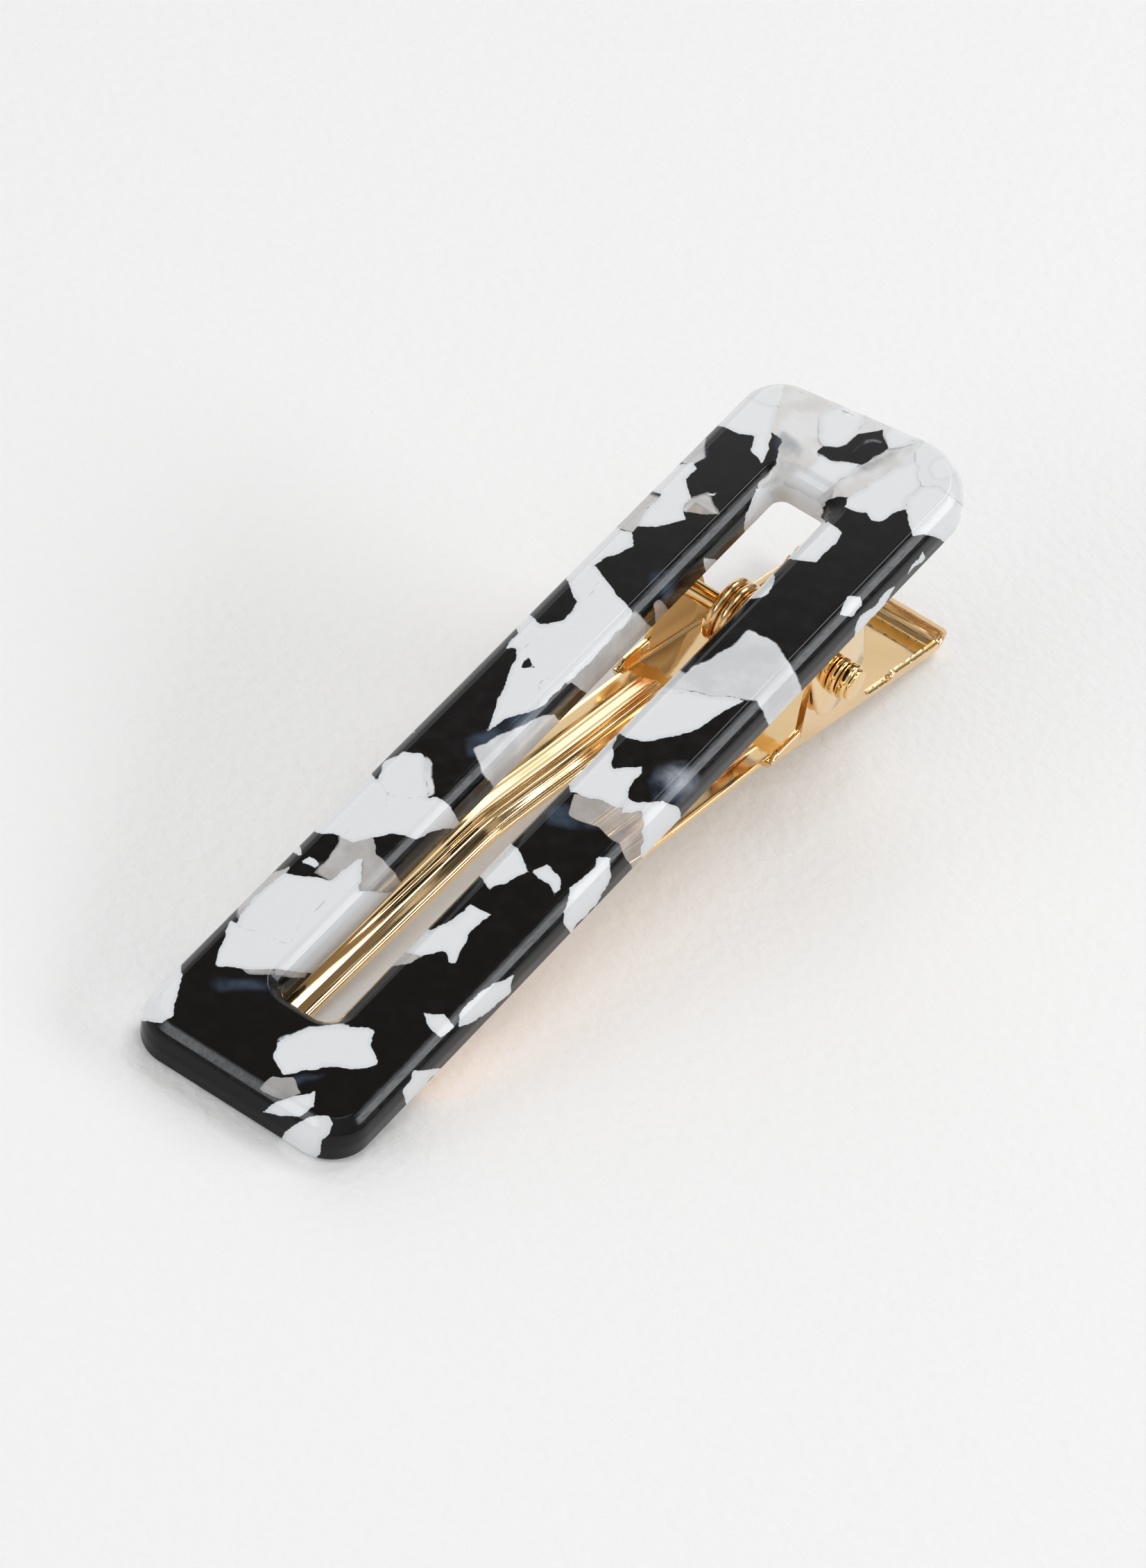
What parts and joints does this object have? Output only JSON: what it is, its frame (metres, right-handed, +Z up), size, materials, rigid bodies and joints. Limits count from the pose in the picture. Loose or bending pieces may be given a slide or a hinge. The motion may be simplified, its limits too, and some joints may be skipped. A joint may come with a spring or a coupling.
{
  "type": "barrette",
  "caption": "Long slotted acetate hair barrette with a sprung metal alligator jaw, thumb lever, hinge pin and coil spring underneath.",
  "frame": {"origin": "under the middle of the whole clip's box, on the surface it lies on, with the front edge of the frame and the heel of the lever touching that surface", "axes": "+X from the clip's front end towards the thumb lever, +Y across the clip to its left side, +Z up; the frame is tipped back 13 degrees about Y"},
  "size_m": [0.0848, 0.0198, 0.0212],
  "materials": {
    "acetate": "polished, mottled black, white and clear",
    "gold_sheet": "polished gold plate on stamped steel",
    "gold_pin": "polished gold plate",
    "spring_wire": "polished gold-plated spring wire"
  },
  "bodies": {
    "frame_assembly": {"acetate_frame": "acetate", "right_ear_bracket": "gold_sheet", "left_ear_bracket": "gold_sheet", "hinge_pin": "gold_pin", "right_pin_washer": "gold_pin", "left_pin_washer": "gold_pin", "torsion_spring": "spring_wire"},
    "jaw_assembly": {"lower_jaw": "gold_sheet"}
  },
  "joints": [
    {"name": "jaw_hinge", "type": "hinge", "parent": "frame_assembly", "child": "jaw_assembly", "pos_m": [0.02043, -0.00015, 0.00995], "axis": [0, -1, 0], "range_deg": [0, 30], "stiffness_Nm_per_rad": 0.06, "springref_deg": -51.57, "deforming": ["torsion_spring"]}
  ]
}
